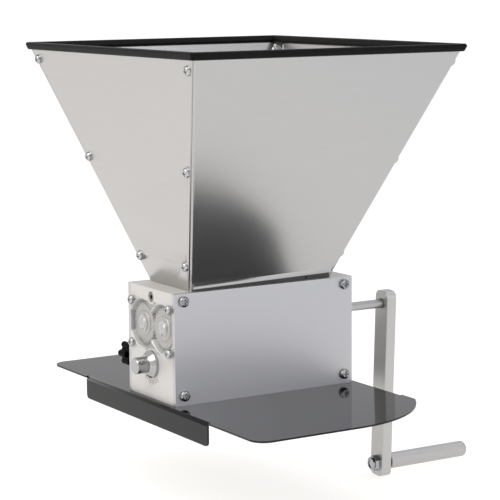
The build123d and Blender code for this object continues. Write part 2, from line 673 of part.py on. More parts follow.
def star_knob(side):
    """A lobed hand knob behind the rear cover."""
    outline = Circle(KNOB_CORE_RADIUS)
    for i in range(KNOB_LOBES):
        turn = 2 * math.pi * i / KNOB_LOBES
        centre = Pos(KNOB_LOBE_CIRCLE * math.cos(turn), KNOB_LOBE_CIRCLE * math.sin(turn))
        outline += centre * Circle(KNOB_LOBE_RADIUS)
    outline = fillet(outline.vertices(), 0.7)
    start = COVER_FACE + KNOB_STANDOFF
    origin = (side * LOCK_X, start + KNOB_BOSS_LENGTH, ADJUSTER_Z)
    plane = Plane(origin, x_dir=(-1, 0, 0), z_dir=(0, 1, 0))
    head = extrude(plane * outline, KNOB_LENGTH)
    head = chamfer(head.faces().sort_by(Axis.Y)[-1].edges(), 1.0)
    head += rod_y(start, start + KNOB_BOSS_LENGTH, side * LOCK_X, ADJUSTER_Z, KNOB_BOSS_RADIUS)
    return head - lock_stud(side)


# ---------------------------------------------------------------- crank


def crank_arm():
    """The flat arm: full round at the shaft, smaller corners at the grip."""
    height = CRANK_LENGTH + 2 * CRANK_END
    outline = Pos(0, -CRANK_LENGTH / 2) * Rectangle(2 * CRANK_HALF_WIDTH, height)
    ends = outline.vertices().sort_by(Axis.Y)
    outline = fillet(ends[2:], CRANK_TOP_RADIUS)
    outline = fillet(outline.vertices().sort_by(Axis.Y)[:2], CRANK_BOTTOM_RADIUS)
    plane = Plane((CRANK_INNER_FACE, -ROLLER_Y, ROLLER_Z), x_dir=(0, 1, 0), z_dir=(1, 0, 0))
    arm = extrude(plane * Rot(0, 0, CRANK_LEAN_DEG) * outline, CRANK_THICKNESS)
    arm = chamfer(arm.faces().filter_by(Axis.X).edges(), 0.5)
    shaft = rod_x(CRANK_INNER_FACE - 1, CRANK_OUTER_FACE, -ROLLER_Y, ROLLER_Z, CRANK_SHAFT_RADIUS)
    arm -= shaft - crank_flat()
    countersink = Cone(CRANK_SHAFT_RADIUS + ARM_BORE_CHAMFER, CRANK_SHAFT_RADIUS, ARM_BORE_CHAMFER)
    countersink = Rot(0, 90, 0) * Pos(0, 0, ARM_BORE_CHAMFER / 2) * countersink
    arm -= Pos(CRANK_INNER_FACE, -ROLLER_Y, ROLLER_Z) * countersink
    return arm - rod_x(CRANK_INNER_FACE - 1, CRANK_OUTER_FACE + 1, GRIP_Y, GRIP_Z, GRIP_BOLT_RADIUS)


def crank_washer():
    """Washer under the screw that keeps the arm on the shaft."""
    outer, inner, thickness = CRANK_WASHER
    end = CRANK_OUTER_FACE + thickness
    washer = rod_x(CRANK_OUTER_FACE, end, -ROLLER_Y, ROLLER_Z, outer)
    return washer - rod_x(CRANK_OUTER_FACE - 1, end + 1, -ROLLER_Y, ROLLER_Z, inner)


def crank_screw():
    """The screw in the end of the drive shaft."""
    screw = facing("+X") * pan_screw(M4_PAN, CRANK_SCREW_LENGTH)
    return Pos(CRANK_OUTER_FACE + CRANK_WASHER[2], -ROLLER_Y, ROLLER_Z) * screw


def grip_bolt():
    """The bolt that holds the grip, with its head sunk in the grip's outer end."""
    head_seat = GRIP_START + GRIP_LENGTH - GRIP_RECESS[1] + 0.3
    length = head_seat - CRANK_INNER_FACE + NUT_HEIGHT + 0.6
    screw = socket_screw(*GRIP_BOLT_HEAD, GRIP_BOLT_RADIUS, length)
    return Pos(head_seat, GRIP_Y, GRIP_Z) * facing("+X") * screw


def grip_nut():
    """Locking nut on the arm's inner face: a hexagon with a round collar."""
    collar_radius, collar_height = NUT_COLLAR
    nut = hexagon_prism(NUT_FLATS, NUT_HEIGHT)
    nut += Pos(0, 0, NUT_HEIGHT + collar_height / 2) * Cylinder(collar_radius, collar_height)
    nut = chamfer(nut.faces().sort_by(Axis.Z)[-1].outer_wire().edges(), 0.6)
    nut = Pos(CRANK_INNER_FACE, GRIP_Y, GRIP_Z) * facing("-X") * nut
    return nut - rod_x(CRANK_INNER_FACE - 7, CRANK_INNER_FACE + 1, GRIP_Y, GRIP_Z, GRIP_BOLT_RADIUS)


def grip_washer():
    """The dark spacer between arm and grip."""
    end = GRIP_START - 0.3
    washer = rod_x(CRANK_OUTER_FACE, end, GRIP_Y, GRIP_Z, GRIP_WASHER_RADIUS)
    return washer - rod_x(CRANK_OUTER_FACE - 1, end + 1, GRIP_Y, GRIP_Z, GRIP_BOLT_RADIUS)


def crank_grip():
    """The round grip, which spins on its bolt."""
    end = GRIP_START + GRIP_LENGTH
    grip = rod_x(GRIP_START, end, GRIP_Y, GRIP_Z, GRIP_RADIUS)
    grip = fillet(grip.edges().filter_by(GeomType.CIRCLE).sort_by(Axis.X)[-1], GRIP_END_ROUND)
    grip = chamfer(grip.edges().filter_by(GeomType.CIRCLE).sort_by(Axis.X)[0], 0.5)
    grip -= rod_x(GRIP_START - 1, end + 1, GRIP_Y, GRIP_Z, GRIP_BOLT_RADIUS + RUNNING_CLEARANCE)
    recess_radius, recess_depth = GRIP_RECESS
    return grip - rod_x(end - recess_depth, end + 1, GRIP_Y, GRIP_Z, recess_radius)


# ---------------------------------------------------------------- hopper


def horizontal_offset(axis, distance):
    """How far a sloped wall moves sideways when it is offset by a distance along its normal."""
    return distance * math.hypot(HOPPER_RUN[axis], HOPPER_RISE) / HOPPER_RISE


def funnel(inset_x, inset_y, z_from=None, z_to=None, corner=0):
    """The solid inside the hopper's outer faces, each pair of faces inset by its own distance."""
    levels = (HOPPER_Z[0] if z_from is None else z_from, HOPPER_Z[1] if z_to is None else z_to)
    insets = (horizontal_offset(0, inset_x), horizontal_offset(1, inset_y))
    sections = []
    for z in levels:
        rise = (z - HOPPER_Z[0]) / HOPPER_RISE
        half = [HOPPER_BOTTOM_HALF[i] + rise * HOPPER_RUN[i] - insets[i] for i in (0, 1)]
        width, depth = 2 * half[0], 2 * half[1]
        outline = RectangleRounded(width, depth, corner) if corner else Rectangle(width, depth)
        sections.append(Pos(0, 0, z) * outline)
    return loft(sections)


def half_space(axis, side):
    """Everything on one side of the middle, along X (0) or Y (1)."""
    low, high = sorted((0, side * REACH))
    spans = [(-REACH, REACH), (-REACH, REACH), (-REACH, REACH)]
    spans[axis] = (low, high)
    return box_between(*spans)


def panel_top():
    """The sheets run up inside the rubber trim."""
    return HOPPER_Z[1] + TRIM_OVERLAP


def end_panel(side):
    """Left (-1) or right (+1) panel: the outer layer at the corners, with a seat flange below."""
    top = panel_top()
    wall = funnel(0, CORNER_INSET, TOP_OF_HEAD, top) - funnel(SHEET, -OVERSIZE, TOP_OF_HEAD, top)
    wall = wall & half_space(0, side)
    seat = box_between(
        (side * SEAT_FLANGE_INNER, side * (HOPPER_BOTTOM_HALF[0] - 1.4)),
        (-SEAT_FLANGE_HALF, SEAT_FLANGE_HALF),
        (TOP_OF_HEAD, TOP_OF_HEAD + SHEET),
    )
    panel = wall + seat
    x, hole = side * SEAT_SCREW_AT[0], M3_PAN[2] + SCREW_CLEARANCE
    for y in (-SEAT_SCREW_AT[1], SEAT_SCREW_AT[1]):
        panel -= rod_z(TOP_OF_HEAD - 1, TOP_OF_HEAD + 3, x, y, hole)
    for x, y, z in panel_screw_places():
        if x * side > 0:
            panel -= across_corner(x, y, z, M4_PAN[2] + 0.1)
    return panel


def long_edge_level(x):
    """Height of a long panel's lower edge, which is a little higher at the crank end."""
    return TOP_OF_PLATE + LONG_EDGE_HEIGHT + x * LONG_EDGE_SLOPE


def foot_section(x):
    """The upright foot, its bend and the start of the sloped wall, cut across at one place along X."""
    slope = HOPPER_RUN[1] / HOPPER_RISE
    at_origin = HOPPER_BOTTOM_HALF[1] - HOPPER_Z[0] * slope
    through = horizontal_offset(1, SHEET)
    low = long_edge_level(x)
    crease = low + FOOT_HEIGHT
    outer = at_origin + crease * slope
    inner = outer - SHEET
    inner_crease = (inner + through - at_origin) / slope
    end = at_origin + FOOT_CUT * slope
    points = [(outer, low), (outer, crease), (end, FOOT_CUT), (end - through, FOOT_CUT)]
    points += [(inner, inner_crease), (inner, low)]
    section = make_face(Polyline(*points, close=True))
    section = fillet(nearest_vertex(section, outer, crease), FOOT_BEND_RADIUS)
    section = fillet(nearest_vertex(section, inner, inner_crease), FOOT_BEND_RADIUS + SHEET)
    return Plane((x, 0, 0), x_dir=(0, 1, 0), z_dir=(1, 0, 0)) * section


def foot(side):
    """The upright foot along a long panel's lower edge, ready to join the sloped wall."""
    solid = loft([foot_section(-FOOT_HALF_LENGTH), foot_section(FOOT_HALF_LENGTH)])
    return solid if side > 0 else mirror(solid, about=Plane.XZ)


def below_long_edge():
    """Everything under the long panels' lower edges."""
    turn = Rot(0, -math.degrees(math.atan(LONG_EDGE_SLOPE)), 0)
    return Pos(0, 0, long_edge_level(0)) * turn * box_between((-REACH, REACH), (-REACH, REACH), (-REACH, 0))


def nearest_vertex(face, x, y):
    """The corner of a flat face that is nearest to a point."""
    return face.vertices().sort_by_distance((x, y, 0))[0]


def long_panel(side):
    """Front (-1) or rear (+1) panel: its side edges bend back behind the end panels."""
    top = panel_top()
    shell = funnel(SHEET, 0, TOP_OF_HEAD, top, BEND_RADIUS)
    shell -= funnel(2 * SHEET, SHEET, TOP_OF_HEAD, top, BEND_RADIUS - SHEET)
    shell -= funnel(-OVERSIZE, CORNER_FLANGE, TOP_OF_HEAD, top)
    panel = (shell & half_space(1, side)) - below_long_edge()
    sides = (-FOOT_HALF_LENGTH, FOOT_HALF_LENGTH)
    panel -= box_between(sides, (0, side * REACH), (0, FOOT_CUT))
    panel += foot(side)
    for x, y, z in panel_screw_places():
        if y * side > 0:
            panel -= across_corner(x, y, z, M4_PAN[2] + 0.1)
    return panel


def panel_screw_places():
    """Where the corner screws come through the end panels' outer faces."""
    places = []
    for z in PANEL_SCREW_HEIGHTS:
        rise = (TOP_OF_PLATE + z - HOPPER_Z[0]) / HOPPER_RISE
        x = HOPPER_BOTTOM_HALF[0] + rise * HOPPER_RUN[0]
        y = HOPPER_BOTTOM_HALF[1] + rise * HOPPER_RUN[1] - PANEL_SCREW_INSET
        places += [(sx * x, sy * y, TOP_OF_PLATE + z) for sx in SIGNS for sy in SIGNS]
    return places


def outward_from_end_panel(x, y, z):
    """A frame on an end panel's outer face whose Z axis is the panel's outward normal."""
    slope = math.degrees(math.atan2(HOPPER_RUN[0], HOPPER_RISE))
    tilt = Rot(0, 90 + slope, 0) if x > 0 else Rot(0, -90 - slope, 0)
    return Pos(x, y, z) * tilt


def across_corner(x, y, z, radius):
    """A drilled hole through both layers of a corner."""
    return outward_from_end_panel(x, y, z) * Cylinder(radius, 8 * SHEET)


def panel_screws():
    """Small screws down the slanted corner edges, three to a corner."""
    screw = pan_screw(M4_PAN, PANEL_SCREW_LENGTH)
    return group(outward_from_end_panel(*place) * screw for place in panel_screw_places())


def panel_nuts():
    """Nuts on those screws, inside the hopper."""
    across_flats, height = PANEL_NUT
    nut = hexagon_prism(across_flats, height) - Cylinder(M4_PAN[2], 4 * height)
    nut = Pos(0, 0, -2 * SHEET - height) * nut
    return group(outward_from_end_panel(*place) * nut for place in panel_screw_places())


def hopper_seal():
    """The dark strips behind the front and rear panels' feet; the front one has a butt joint."""
    outer = HOPPER_BOTTOM_HALF[1] - SEAL_SETBACK
    ends = (-SEAL_HALF_LENGTH, SEAL_HALF_LENGTH)
    levels = (TOP_OF_HEAD, TOP_OF_HEAD + SEAL_HEIGHT)
    rear = box_between(ends, (outer - SEAL_WALL, outer), levels)
    front = mirror(rear, about=Plane.XZ)
    front -= box_between(SEAL_GAP, (-outer - 1, 0), (TOP_OF_HEAD - 1, TOP_OF_HEAD + SEAL_HEIGHT + 1))
    return group([rear, front])


def hopper_seat_screws():
    """Screws down through the seat flanges into the end blocks."""
    level = TOP_OF_HEAD + SHEET
    screw = pan_screw(M3_PAN, SEAT_SCREW_LENGTH)
    return group(Pos(x, y, level) * screw for x, y in corners_of(*SEAT_SCREW_AT))


def rim_trim():
    """Rounded rubber edging pushed over the hopper's top edge."""
    low, high = HOPPER_Z[1], HOPPER_Z[1] + TRIM_HEIGHT
    outside = funnel(-TRIM_WALL, -TRIM_WALL, low, high)
    corners = outside.edges().filter_by(lambda e: abs(e.tangent_at(0.5).Z) > 0.5)
    outside = fillet(corners, TRIM_CORNER_RADIUS)
    inset = 2 * SHEET + TRIM_WALL
    ring = outside - funnel(inset, SHEET + TRIM_WALL, low - 1, high + 1)
    rims = ring.faces().filter_by(Axis.Z).edges()
    ring = fillet(rims, TRIM_ROUND)
    slot = funnel(0, 0, low - 1, panel_top())
    slot -= funnel(2 * SHEET, SHEET, low - 1, panel_top(), corner=BEND_RADIUS - SHEET)
    return ring - slot


# ---------------------------------------------------------------- all the nodes

NODES = {
    "base_plate": base_plate,
    "base_screws": base_screws,
    "left_end_block": left_end_block,
    "right_end_block": right_end_block,
    "front_cover": lambda: cover(-1),
    "front_cover_screws": lambda: cover_screws(-1),
    "rear_cover": lambda: cover(1),
    "rear_cover_screws": lambda: cover_screws(1),
    "left_roller_bushes": left_bushes,
    "right_roller_bushes": right_bushes,
    "tie_bar": tie_bar,
    "tie_bar_screws": tie_bar_screws,
    "gear_cover": gear_cover,
    "gear_cover_screws": gear_cover_screws,
    "hopper_seal": hopper_seal,
    "hopper_seat_screws": hopper_seat_screws,
    "hopper_left_panel": lambda: end_panel(-1),
    "hopper_right_panel": lambda: end_panel(1),
    "hopper_front_panel": lambda: long_panel(-1),
    "hopper_rear_panel": lambda: long_panel(1),
    "hopper_panel_screws": panel_screws,
    "hopper_panel_nuts": panel_nuts,
    "hopper_rim_trim": rim_trim,
    "drive_roller": drive_roller,
    "drive_gear": lambda: gear(-ROLLER_Y),
    "drive_gear_key": lambda: key_at(-ROLLER_Y),
    "drive_gear_ring": lambda: retaining_ring(-ROLLER_Y),
    "crank_arm": crank_arm,
    "crank_washer": crank_washer,
    "crank_screw": crank_screw,
    "grip_bolt": grip_bolt,
    "grip_nut": grip_nut,
    "grip_washer": grip_washer,
    "crank_grip": crank_grip,
    "driven_roller": driven_roller,
    "driven_gear": lambda: gear(ROLLER_Y),
    "driven_gear_key": lambda: key_at(ROLLER_Y),
    "driven_gear_ring": lambda: retaining_ring(ROLLER_Y),
    "idle_roller": idle_roller,
    "left_gap_adjuster": lambda: mirrored_x(gap_adjuster()),
    "right_gap_adjuster": gap_adjuster,
    "left_adjuster_bush": lambda: mirrored_x(adjuster_bush()),
    "right_adjuster_bush": adjuster_bush,
    "left_lock_pad": lambda: lock_pad(-1),
    "right_lock_pad": lambda: lock_pad(1),
    "left_lock_stud": lambda: lock_stud(-1),
    "right_lock_stud": lambda: lock_stud(1),
    "left_lock_knob": lambda: star_knob(-1),
    "right_lock_knob": lambda: star_knob(1),
}

os.makedirs("parts", exist_ok=True)
for name, make in NODES.items():
    export_step(make(), f"parts/{name}.step")
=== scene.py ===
"""Looks for the hand-cranked grain mill: materials, knurling, dial scales, studio and camera.

Metres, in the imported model's frame: X along the rollers towards the crank, Y from the front cover
to the rear cover, Z up.
"""

import math

import bmesh
import bpy
from mathutils import Matrix, Vector


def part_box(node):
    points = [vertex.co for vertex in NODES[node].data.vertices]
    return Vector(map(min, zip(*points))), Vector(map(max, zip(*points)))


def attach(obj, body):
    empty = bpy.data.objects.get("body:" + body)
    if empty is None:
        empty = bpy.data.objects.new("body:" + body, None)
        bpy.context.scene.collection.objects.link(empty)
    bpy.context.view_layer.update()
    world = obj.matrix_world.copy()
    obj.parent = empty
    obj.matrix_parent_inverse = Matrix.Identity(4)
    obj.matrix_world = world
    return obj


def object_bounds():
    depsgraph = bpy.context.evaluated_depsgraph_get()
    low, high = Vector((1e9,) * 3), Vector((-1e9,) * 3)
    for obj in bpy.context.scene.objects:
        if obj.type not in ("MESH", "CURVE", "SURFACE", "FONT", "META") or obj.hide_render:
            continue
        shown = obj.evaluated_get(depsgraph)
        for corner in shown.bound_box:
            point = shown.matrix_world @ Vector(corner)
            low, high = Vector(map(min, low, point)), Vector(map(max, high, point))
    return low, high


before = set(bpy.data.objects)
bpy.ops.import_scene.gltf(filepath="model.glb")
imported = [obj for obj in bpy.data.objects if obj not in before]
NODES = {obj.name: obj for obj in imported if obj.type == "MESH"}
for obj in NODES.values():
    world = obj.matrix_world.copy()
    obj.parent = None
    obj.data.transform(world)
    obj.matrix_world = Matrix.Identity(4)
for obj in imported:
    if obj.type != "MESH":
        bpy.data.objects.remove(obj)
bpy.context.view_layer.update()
scene = bpy.context.scene


def axis_of(node):
    """Where the axis of a round node runs along X: its y and z."""
    low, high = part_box(node)
    return tuple(((low + high) / 2)[1:])


def radius_of(node):
    """Half the height of a round node."""
    low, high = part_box(node)
    return (high.z - low.z) / 2


def add_mesh(name, vertices, faces):
    """A new object in the scene, from lists of points and faces."""
    mesh = bpy.data.meshes.new(name)
    mesh.from_pydata(vertices, [], faces)
    mesh.update()
    made = bpy.data.objects.new(name, mesh)
    scene.collection.objects.link(made)
    return made


# ------------------------------------------------------------------ camera

AZIMUTH = math.radians(-31.46)
ELEVATION = math.radians(8.302)
ROLL = math.radians(-0.447)
# From the camera to the middle of the plate's top: to its right, up, and straight ahead.
CAMERA_OFFSET = (-0.0074, -0.1202, 1.6844)
# The focal length as a multiple of the sensor's width, which is in millimetres.
FOCAL_SHARE = 3.8018
SENSOR = 36.0
CLIP_END = 50


def make_camera():
    """A long lens from the front left, a little above the head."""
    right = Vector((math.cos(AZIMUTH), math.sin(AZIMUTH), 0))
    back = Vector(
        (
            math.sin(AZIMUTH) * math.cos(ELEVATION),
            -math.cos(AZIMUTH) * math.cos(ELEVATION),
            math.sin(ELEVATION),
        )
    )
    up = back.cross(right)
    rolled_right = right * math.cos(ROLL) + up * math.sin(ROLL)
    rolled_up = up * math.cos(ROLL) - right * math.sin(ROLL)
    data = bpy.data.cameras.new("camera")
    data.sensor_width = SENSOR
    data.lens = FOCAL_SHARE * SENSOR
    data.clip_end = CLIP_END
    camera = bpy.data.objects.new("camera", data)
    scene.collection.objects.link(camera)
    x, y, distance = CAMERA_OFFSET
    plate_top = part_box("front_cover")[0].z
    place = Vector((0, 0, plate_top)) - rolled_right * x - rolled_up * y + back * distance
    rotation = Matrix((rolled_right, rolled_up, back)).transposed().to_4x4()
    camera.matrix_world = Matrix.Translation(place) @ rotation
    scene.camera = camera


# ------------------------------------------------------------------ shaders

# A noise texture seldom leaves this range, so it is stretched from here to the full effect.
NOISE_LOW, NOISE_HIGH = 0.3, 0.7


class Shader:
    """A node tree around one Principled shader, with short calls for the textures in use."""

    def __init__(self, name, color, metallic, roughness, **sockets):
        self.material = bpy.data.materials.new(name)
        self.material.use_nodes = True
        self.tree = self.material.node_tree
        self.principled = self.tree.nodes["Principled BSDF"]
        self.set("Base Color", (*color, 1))
        self.set("Metallic", metallic)
        self.set("Roughness", roughness)
        for socket, value in sockets.items():
            self.set(socket.replace("_", " "), value)
        self.color, self.roughness = color, roughness
        self.normal = None

    def set(self, socket, value):
        """A constant on the Principled shader."""
        self.principled.inputs[socket].default_value = value

    def node(self, kind, **values):
        """A new node, with its settings and inputs given by name."""
        made = self.tree.nodes.new(kind)
        for key, value in values.items():
            if hasattr(made, key):
                setattr(made, key, value)
            else:
                made.inputs[key.replace("_", " ")].default_value = value
        return made

    def link(self, source, target):
        self.tree.links.new(source, target)

    def place(self, scale=(1, 1, 1), offset=(0, 0, 0)):
        """Object coordinates in metres, scaled and moved."""
        coordinates = self.node("ShaderNodeTexCoord")
        mapping = self.node("ShaderNodeMapping", Location=offset, Scale=scale)
        self.link(coordinates.outputs["Object"], mapping.inputs["Vector"])
        return mapping.outputs["Vector"]

    def noise(self, vector, scale, detail=3.0, roughness=0.55):
        """Cloudy noise around 0.5, with about `scale` clouds to a metre."""
        made = self.node("ShaderNodeTexNoise", Scale=scale, Detail=detail, Roughness=roughness)
        self.link(vector, made.inputs["Vector"])
        return made.outputs["Fac"]

    def ramp(self, value, low, high, to_low, to_high):
        """A value that goes from to_low to to_high while its source goes from low to high."""
        made = self.node(
            "ShaderNodeMapRange", From_Min=low, From_Max=high, To_Min=to_low, To_Max=to_high
        )
        self.link(value, made.inputs["Value"])
        return made.outputs["Result"]

    def vary_roughness(self, value, spread):
        """Roughness that wanders by up to `spread` around its middle."""
        least, most = self.roughness - spread, self.roughness + spread
        result = self.ramp(value, NOISE_LOW, NOISE_HIGH, least, most)
        self.link(result, self.principled.inputs["Roughness"])

    def vary_color(self, value, low, high, low_at=NOISE_LOW, high_at=NOISE_HIGH):
        """Colour between two multiples of the base colour."""
        made = self.node("ShaderNodeMix", data_type="RGBA")
        factor = self.ramp(value, low_at, high_at, 0, 1)
        self.link(factor, made.inputs["Factor"])
        for socket in made.inputs:
            if socket.type == "RGBA":
                shade = low if socket.name == "A" else high
                socket.default_value = (*(min(1, c * shade) for c in self.color), 1)
        mixed = [socket for socket in made.outputs if socket.type == "RGBA"][0]
        self.link(mixed, self.principled.inputs["Base Color"])

    def bump(self, height, distance, strength):
        """Relief of the given depth in metres, on top of any relief added before."""
        made = self.node("ShaderNodeBump", Strength=strength, Distance=distance)
        self.link(height, made.inputs["Height"])
        if self.normal is not None:
            self.link(self.normal, made.inputs["Normal"])
        self.normal = made.outputs["Normal"]
        self.link(self.normal, self.principled.inputs["Normal"])


def brushed(name, color, roughness, scale, spread=0.03, metallic=1.0, depth=0.000012):
    """Metal with fine grain: the scale says how the grain is stretched along X, Y and Z."""
    shader = Shader(name, color, metallic, roughness)
    grain = shader.noise(shader.place(scale), scale=1.0, detail=4.0, roughness=0.6)
    cloud = shader.noise(shader.place(), scale=9.0, detail=2.0)
    shader.vary_roughness(cloud, spread)
    shader.vary_color(grain, low=0.985, high=1.015)
    shader.bump(grain, depth, strength=0.3)
    return shader


def blasted(name, color, roughness, metallic):
    """Bead-blasted metal: an even, very fine sparkle."""
    shader = Shader(name, color, metallic, roughness)
    grain = shader.noise(shader.place(), scale=2600.0, detail=2.0, roughness=0.7)
    cloud = shader.noise(shader.place(), scale=14.0)
    shader.vary_roughness(cloud, spread=0.03)
    shader.vary_color(grain, low=0.94, high=1.06)
    shader.bump(grain, distance=0.00003, strength=0.6)
    return shader


# The wave texture's own measure for turned rings that are about 1.4 mm apart.
RING_SCALE = 1 / 0.00045 / 10


def turned(name, color, roughness, centre):
    """Metal turned on a lathe about an axis along X, with rings on its flat faces."""
    shader = Shader(name, color, 1.0, roughness)
    offset = (0, -centre[0], -centre[1])
    rings = shader.node(
        "ShaderNodeTexWave",
        wave_type="RINGS",
        rings_direction="X",
        Detail=2.0,
        Scale=RING_SCALE,
        Distortion=0.6,
    )
    shader.link(shader.place(offset=offset), rings.inputs["Vector"])
    cloud = shader.noise(shader.place(), scale=60.0)
    shader.vary_roughness(cloud, spread=0.04)
    shader.vary_color(rings.outputs["Fac"], low=0.93, high=1.05, low_at=0.0, high_at=1.0)
    shader.bump(rings.outputs["Fac"], distance=0.00002, strength=0.4)
    return shader


def plain_metal(name, color, roughness):
    """Small bright hardware: slight stains and fine scratches."""
    shader = Shader(name, color, 1.0, roughness)
    cloud = shader.noise(shader.place(), scale=350.0)
    shader.vary_roughness(cloud, spread=0.07)
    shader.vary_color(cloud, low=0.88, high=1.05)
    scratches = shader.noise(shader.place((3000, 1200, 1800)), scale=1.0, detail=2.0)
    shader.bump(scratches, distance=0.000015, strength=0.4)
    return shader


def coated(name, color, roughness, specular):
    """Smooth coat of paint or powder with a faint orange peel."""
    shader = Shader(name, color, 0.0, roughness, Specular_IOR_Level=specular, IOR=1.5)
    peel = shader.noise(shader.place(), scale=420.0, detail=2.0)
    cloud = shader.noise(shader.place(), scale=11.0)
    shader.vary_roughness(cloud, spread=0.02)
    shader.vary_color(cloud, low=0.85, high=1.15)
    shader.bump(peel, distance=0.00001, strength=0.5)
    return shader


def moulded(name, color, roughness, depth=0.00004, specular=0.3):
    """Moulded rubber or plastic with a fine even texture."""
    shader = Shader(name, color, 0.0, roughness, Specular_IOR_Level=specular)
    grain = shader.noise(shader.place(), scale=1500.0, roughness=0.6)
    cloud = shader.noise(shader.place(), scale=25.0)
    shader.vary_roughness(cloud, spread=0.05)
    shader.vary_color(cloud, low=0.8, high=1.25)
    shader.bump(grain, depth, strength=0.5)
    return shader


def clear_sheet(name, color, roughness):
    """Clear plastic sheet, faintly hazy from small scuffs."""
    shader = Shader(name, color, 0.0, roughness, Alpha=0.07, Specular_IOR_Level=0.25)
    scuffs = shader.noise(shader.place((900, 900, 260)), scale=1.0)
    shader.vary_roughness(scuffs, spread=0.03)
    shader.vary_color(scuffs, low=0.97, high=1.02)
    shader.bump(scuffs, distance=0.00001, strength=0.3)
    return shader


# ------------------------------------------------------------------ materials

DRIVE_AXIS = axis_of("drive_gear")
DRIVEN_AXIS = axis_of("driven_gear")
DIAL_AXIS = axis_of("left_gap_adjuster")

# The hopper's grain runs along X on its wide panels and along Y on its end panels.
# Painted shade: the wide panels are the same stainless sheet as the end panels, given a darker base
# colour in place of their dimmer light.
SHEET_LONG_PAINTED_SHADE = brushed(
    "hopper_sheet_long_painted_shade",
    (0.445, 0.445, 0.445),
    0.235,
    (20, 700, 700),
    spread=0.02,
    metallic=0.93,
    depth=0.000001,
)
SHEET_SIDE = brushed(
    "hopper_sheet_side",
    (0.49, 0.482, 0.474),
    0.315,
    (700, 20, 700),
    spread=0.02,
    depth=0.000001,
)
PLATE_COAT = coated("black_gloss", (0.004, 0.004, 0.0045), 0.07, specular=0.2)
COVER_METAL = brushed(
    "cover_plate", (0.49, 0.49, 0.505), 0.36, (1500, 1500, 900), metallic=0.9, depth=0.00002
)
BLOCK_METAL = blasted("blasted_aluminium", (0.56, 0.548, 0.533), 0.52, metallic=0.45)
DULL_METAL = plain_metal("dull_steel", (0.24, 0.235, 0.23), 0.40)
SCREW_METAL = plain_metal("steel_screws", (0.46, 0.465, 0.47), 0.13)
NUT_METAL = plain_metal("bright_nuts", (0.40, 0.41, 0.43), 0.16)
BRONZE = plain_metal("bronze", (0.46, 0.27, 0.12), 0.42)
BAR_METAL = brushed("machined_steel", (0.40, 0.40, 0.40), 0.34, (90, 2200, 2200))
# Painted reflection: the cover screws are steel screws made darker in colour, in place of the dark
# surroundings their heads reflect.
COVER_SCREW_METAL_SHADED = plain_metal("cover_screws_painted_shade", (0.30, 0.305, 0.31), 0.12)
# The seal piece fills the gap under the hopper's lower edge. Its dark grey-brown is painted shade,
# the colour of that gap's shadowed inside rather than of rubber.
SEAL_PAINTED_GAP_SHADE = moulded("seal_painted_gap_shade", (0.060, 0.057, 0.052), 0.6)
TRIM_RUBBER = moulded("black_rubber", (0.004, 0.0037, 0.0037), 0.42, specular=0.08)
PLASTIC = moulded("black_plastic", (0.001, 0.001, 0.001), 0.40, depth=0.00002, specular=0.03)
CRANK_METAL = brushed(
    "satin_aluminium", (0.49, 0.485, 0.475), 0.42, (1400, 1400, 160), metallic=0.9
)
GRIP_METAL = brushed(
    "satin_aluminium_turned", (0.46, 0.456, 0.45), 0.5, (1800, 120, 120), metallic=0.85
)
DIAL_METAL = turned("turned_steel", (0.40, 0.40, 0.405), 0.14, DIAL_AXIS)
GEAR_COLOR, GEAR_ROUGHNESS = (0.36, 0.345, 0.325), 0.38
DRIVE_GEAR_METAL = turned("drive_gear_steel", GEAR_COLOR, GEAR_ROUGHNESS, DRIVE_AXIS)
DRIVEN_GEAR_METAL = turned("driven_gear_steel", GEAR_COLOR, GEAR_ROUGHNESS, DRIVEN_AXIS)
BRASS = plain_metal("brass_tip", (0.68, 0.50, 0.20), 0.30)
CLEAR = clear_sheet("clear_plastic", (0.93, 0.95, 0.96), 0.08)
KNURL_METAL = plain_metal("knurled_steel", (0.40, 0.40, 0.40), 0.30)
SCALE_BLACK = moulded("scale_paint", (0.03, 0.03, 0.03), 0.5)

# The nodes that aren't listed are screws, bolts, nuts, washers, studs and rings, of SCREW_METAL.
NODE_MATERIALS = {
    "base_plate": PLATE_COAT,
    "left_end_block": BLOCK_METAL,
    "right_end_block": BLOCK_METAL,
    "front_cover": COVER_METAL,
    "rear_cover": COVER_METAL,
    "left_roller_bushes": BRONZE,
    "right_roller_bushes": BRONZE,
    "left_adjuster_bush": BRONZE,
    "right_adjuster_bush": BRONZE,
    "tie_bar": BAR_METAL,
    "tie_bar_screws": DULL_METAL,
    "gear_cover": CLEAR,
    "hopper_seal": SEAL_PAINTED_GAP_SHADE,
    "hopper_rim_trim": TRIM_RUBBER,
    "hopper_left_panel": SHEET_SIDE,
    "hopper_right_panel": SHEET_SIDE,
    "hopper_front_panel": SHEET_LONG_PAINTED_SHADE,
    "hopper_rear_panel": SHEET_LONG_PAINTED_SHADE,
    "drive_roller": BAR_METAL,
    "driven_roller": BAR_METAL,
    "idle_roller": BAR_METAL,
    "drive_gear": DRIVE_GEAR_METAL,
    "driven_gear": DRIVEN_GEAR_METAL,
    "drive_gear_key": BAR_METAL,
    "driven_gear_key": BAR_METAL,
    "front_cover_screws": COVER_SCREW_METAL_SHADED,
    "rear_cover_screws": COVER_SCREW_METAL_SHADED,
    "crank_arm": CRANK_METAL,
    "crank_grip": GRIP_METAL,
    "grip_washer": PLASTIC,
    "grip_nut": NUT_METAL,
    "left_gap_adjuster": DIAL_METAL,
    "right_gap_adjuster": DIAL_METAL,
    "left_lock_knob": PLASTIC,
    "right_lock_knob": PLASTIC,
    "left_lock_pad": BRASS,
    "right_lock_pad": BRASS,
}

